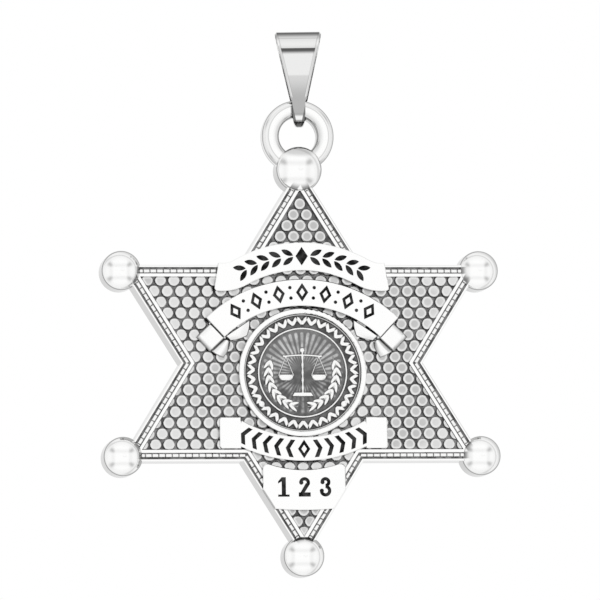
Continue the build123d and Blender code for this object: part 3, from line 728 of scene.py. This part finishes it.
def scale_pan(x, z, side):
    """A bowl on two cords, and the bead of the beam's end over it."""
    hang, beam_end, pan_z, pan_half, pan_foot = side * 1.33, side * 1.5, -0.20, 0.62, -0.62
    bowl = np.clip(1 - (np.hypot(x - hang, (z - pan_z) * 1.15) / 0.66) ** 2, 0, 1) ** 0.5
    forms = [
        0.95 * bowl * (z < pan_z + 0.03) * (z > pan_foot),
        0.9 * bar_relief(x, z, (hang - pan_half, pan_z), (hang + pan_half, pan_z), 0.07),
        0.9 * ridge(np.hypot(x - beam_end, z - 1.32), 0.13),
    ]
    for edge in (1, -1):
        forms.append(0.6 * bar_relief(x, z, (hang, 1.30), (hang + edge * 0.60, pan_z), 0.055))
    return highest(forms)


def scales_of_justice(x, z):
    """A turned post on a foot, with a bowed beam and two pans."""
    beam_z = 1.30 + 0.10 * np.cos(np.clip(x / 1.5, -1, 1) * math.pi / 2)
    foot = np.clip((-1.52 - z) / 0.10, 0, 1) * np.clip((z + 1.96) / 0.10, 0, 1)
    forms = [scale_pan(x, z, side) for side in (1, -1)] + [
        0.9 * ridge(z - beam_z, 0.10) * (np.abs(x) < 1.5),
        ridge(x, 0.10 + 0.04 * np.cos(z * 5.2) ** 2) * (np.abs(z) < 1.72),
        ridge(np.hypot(x, z - 1.80), 0.24),
        0.9 * foot * (np.abs(x) < 0.62 + (-1.5 - z) * 0.55),
    ]
    return highest(forms)


def seal_relief(x, z):
    """Relief from 0 to 1 over the seal: leaf band, rings, rayed ground, laurel sprays and scales."""
    r = np.hypot(x, z)
    rays = 0.5 + 0.5 * np.cos(np.arctan2(x, z) * 40)
    forms = [
        0.95 * ridge(r - 3.545, 0.10),
        0.5 * ridge(r - 4.66, 0.10),
        0.16 * rays * np.clip((3.35 - r) / 0.2, 0, 1) * np.clip((r - 0.5) / 1.2, 0, 1),
        leaf_band(x, z),
        scales_of_justice(x, z),
    ]
    return highest(forms + [laurel_spray(x, z, side) for side in (1, -1)])


def make_seal_face():
    """The struck face over a polar grid, closed by a rim and a flat back."""
    rings, around, inner_ring = 118, 620, 3.50
    radius = np.linspace(0, SEAL_RADIUS, rings + 1)[1:]
    turn = np.arange(around) * 2 * np.pi / around
    x = np.concatenate([[0.0], np.outer(radius, np.sin(turn)).ravel()])
    z = np.concatenate([[0.0], np.outer(radius, np.cos(turn)).ravel()])
    level = seal_relief(x, z)
    points = list(zip(x, SEAL_FLOOR - SEAL_RELIEF * level, z + SEAL_Z))
    back = len(points)
    for angle in turn:
        points.append((SEAL_RADIUS * math.sin(angle), SEAL_BACK, SEAL_RADIUS * math.cos(angle) + SEAL_Z))
    relief = np.concatenate([level, np.zeros(around)])
    in_middle = np.concatenate([np.clip((inner_ring - np.hypot(x, z)) / 0.06, 0, 1), np.zeros(around)])
    faces = []
    for step in range(around):
        after = (step + 1) % around
        faces.append((0, 1 + step, 1 + after))
        for ring in range(rings - 1):
            low = 1 + ring * around
            faces.append((low + step, low + around + step, low + around + after, low + after))
        edge = 1 + (rings - 1) * around
        faces.append((edge + step, back + step, back + after, edge + after))
    faces.append(tuple(back + step for step in range(around)))
    shares = {"relief": relief, "in_middle": in_middle}
    face = mesh_piece("seal_face", points, faces, "struck", shares=shares)
    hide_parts("seal_disc")
    return face


# Folded ribbon tails
def beside_end(along, away):
    """A point from the inner corner of the arch banner's left end: up its cut edge, and away from it."""
    sine, cosine = math.sin(ARCH_TURN), math.cos(ARCH_TURN)
    corner = Vector((-ARCH_INSIDE * sine, ARCH_CENTRE_Z + ARCH_INSIDE * cosine))
    return corner + Vector((-sine, cosine)) * along + Vector((-cosine, -sine)) * away


def patch(corners, front, mirrored, points, faces, bows=(0, 0), across=18, down=14):
    """A closed sheet over four corners, its back on the pebbles, its far end and its foot bowed outwards."""
    sign = -1 if mirrored else 1
    first = len(points)
    outwards = (corners[1] - corners[0]).normalized()
    footwards = (corners[3] - corners[0]).normalized()
    for layer in (0, 1):
        for i in range(across + 1):
            for j in range(down + 1):
                u, v = i / across, j / down
                top = corners[0].lerp(corners[1], u)
                bottom = corners[3].lerp(corners[2], u)
                place = top.lerp(bottom, v)
                place += outwards * (bows[0] * u * math.sin(math.pi * v))
                place += footwards * (bows[1] * v * math.sin(math.pi * u))
                depth = front(u, v) if layer == 0 else TAIL_BACK
                points.append((sign * place.x, depth, place.y))
    size = (across + 1) * (down + 1)
    for i in range(across):
        for j in range(down):
            corner = first + i * (down + 1) + j
            ring = (corner, corner + 1, corner + down + 2, corner + down + 1)
            faces.append(ring)
            faces.append(tuple(value + size for value in reversed(ring)))
    rim = [(i, 0) for i in range(across + 1)] + [(across, j) for j in range(1, down + 1)]
    rim += [(i, down) for i in range(across - 1, -1, -1)] + [(0, j) for j in range(down - 1, 0, -1)]
    ids = [first + i * (down + 1) + j for i, j in rim]
    for step, corner in enumerate(ids):
        after = ids[(step + 1) % len(ids)]
        faces.append((corner, after, after + size, corner + size))


def outer_leaf(u, v):
    """Flat, and rolled back at its far end, its pinched upper corner and its foot."""
    roll = max(0.0, (u - 0.72) / 0.28)
    pinch = max(0.0, (0.22 - v) / 0.22)
    foot = max(0.0, (v - 0.70) / 0.30)
    return -0.30 + 0.20 * roll**2 + 0.05 * pinch**2 + 0.10 * foot**2


def curled_foot(u, v):
    swell = math.sin(math.pi * (0.10 + 0.82 * u))
    return 0.03 - 0.34 * swell * (1 - 0.25 * v)


def under_fold(u, v):
    swell = math.sin(math.pi * (0.20 + 0.72 * u))
    return -0.02 - 0.24 * swell * (1 - 0.75 * v * v)


def make_ribbon_tail(name, replaced, mirrored):
    """The turned-back end of the arch banner: a leaf, its curled foot, and the fold under the banner."""
    leaf = [beside_end(*place) for place in ((-0.06, 0.04), (-0.06, 1.62), (1.55, 1.62), (1.55, 0.04))]
    foot = [beside_end(*place) for place in ((-0.07, 0.04), (-0.66, -0.10), (-1.15, 1.15), (-0.07, 1.50))]
    fold = [Vector(corner) for corner in ((-6.14, 2.12), (-4.19, 3.46), (-4.42, 2.16), (-5.78, 1.80))]
    points, faces = [], []
    patch(leaf, outer_leaf, mirrored, points, faces)
    patch(foot, curled_foot, mirrored, points, faces, bows=(0.10, 0.06))
    patch(fold, under_fold, mirrored, points, faces, bows=(0.12, 0.08))
    tail = mesh_piece(name, points, faces, "tail")
    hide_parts(replaced)
    return tail


make_pebbles()
make_border_beads()
make_seal_face()
make_ribbon_tail("left_ribbon_tail", "left_tail", False)
make_ribbon_tail("right_ribbon_tail", "right_tail", True)


# Studio
def make_camera():
    """A long lens, a little left of the badge and a little below it, as in the photograph."""
    azimuth, elevation, roll = map(math.radians, (CAMERA_AZIMUTH, CAMERA_ELEVATION, CAMERA_ROLL))
    across, ahead, height = math.sin(azimuth), -math.cos(azimuth), math.sin(elevation)
    back = Vector((across * math.cos(elevation), ahead * math.cos(elevation), height))
    level = Vector((math.cos(azimuth), math.sin(azimuth), 0))
    upright = back.cross(level)
    right = level * math.cos(roll) + upright * math.sin(roll)
    up = upright * math.cos(roll) - level * math.sin(roll)
    aside, above = PICTURE_MIDDLE
    target = Vector(in_frame(0, 0, 0)) + (aside * right + above * up) * MM
    lens = bpy.data.cameras.new("camera")
    lens.sensor_width = 36
    lens.lens = CAMERA_LENS
    lens.clip_start = 0.05
    lens.clip_end = 20
    camera = bpy.data.objects.new("camera", lens)
    bpy.context.scene.collection.objects.link(camera)
    pose = Matrix((right, up, back)).transposed().to_4x4()
    pose.translation = target + back * CAMERA_DISTANCE
    camera.matrix_world = pose
    bpy.context.scene.camera = camera
    return back, right, up


def make_light_tent(back, right, up):
    """A white tent: faint crossing seams round the camera, a hoop at the sides, and a dim girdle behind."""
    world = bpy.data.worlds.new("light_tent")
    bpy.context.scene.world = world
    world.use_nodes = True
    tree = world.node_tree
    cloth = tree.nodes["Background"]
    direction = node(tree, "TexCoord").outputs["Generated"]

    def towards(target):
        dot = node(tree, "VectorMath", {0: direction, 1: tuple(target)}, operation="DOT_PRODUCT")
        return dot.outputs["Value"]

    to_camera = towards(back)
    around_camera = smooth_step(tree, to_camera, 0.05, 0.35)
    seams = []
    for axis, place in ((right, 0.70), (up, 0.51)):
        beside = away_from(tree, maths(tree, "ABSOLUTE", towards(axis)), place)
        seams.append(all_of(tree, smooth_step(tree, beside, 0.24, 0.0), around_camera))
    tone = 1.03
    for shadow, strength in (
        (smooth_step(tree, to_camera, 0.62, 0.05), 0.10),
        (smooth_step(tree, away_from(tree, to_camera, 0.02), 0.10, 0.02), 0.22),
        (maths(tree, "ADD", *seams), 0.10),
        (all_of(tree, *seams), 0.26),
        (between(tree, to_camera, -0.12, -0.62, -0.80, -0.97), 0.52),
    ):
        tone = maths(tree, "SUBTRACT", tone, maths(tree, "MULTIPLY", shadow, strength))
    shown = node(tree, "Mix", data_type="FLOAT")
    tree.links.new(node(tree, "LightPath").outputs["Is Camera Ray"], shown.inputs[0])
    tree.links.new(tone, shown.inputs[2])
    shown.inputs[3].default_value = 1.0
    tree.links.new(shown.outputs[0], cloth.inputs["Strength"])
    cloth.inputs["Color"].default_value = (1, 1, 1, 1)


def make_floor():
    """A plain pale floor, well below the hanging badge and the camera, and left out of its reflections."""
    mesh = bpy.data.meshes.new("floor")
    around = ((-1, -1), (1, -1), (1, 1), (-1, 1))
    corners = [(x * FLOOR_HALF, y * FLOOR_HALF, FLOOR_Z) for x, y in around]
    mesh.from_pydata(corners, [], [(0, 1, 2, 3)])
    floor = bpy.data.objects.new("floor", mesh)
    bpy.context.scene.collection.objects.link(floor)
    material = bpy.data.materials.new("pale_floor")
    material.use_nodes = True
    surface = material.node_tree.nodes["Principled BSDF"]
    surface.inputs["Base Color"].default_value = (0.93, 0.93, 0.93, 1)      # pale grey
    surface.inputs["Roughness"].default_value = 0.9
    mesh.materials.append(material)
    floor.visible_glossy = False


def make_softbox():
    """A broad soft lamp over the floor."""
    lamp = bpy.data.lights.new("softbox", "AREA")
    lamp.shape = "DISK"
    lamp.size = 0.6
    lamp.energy = 1.5
    box = bpy.data.objects.new("softbox", lamp)
    bpy.context.scene.collection.objects.link(box)
    box.location = (0.1, -0.2, 0.8)
    box.visible_glossy = False


back, right, up = make_camera()
make_light_tent(back, right, up)
make_floor()
make_softbox()

scene = bpy.context.scene
scene.view_settings.view_transform = "Standard"
scene.view_settings.look = "None"
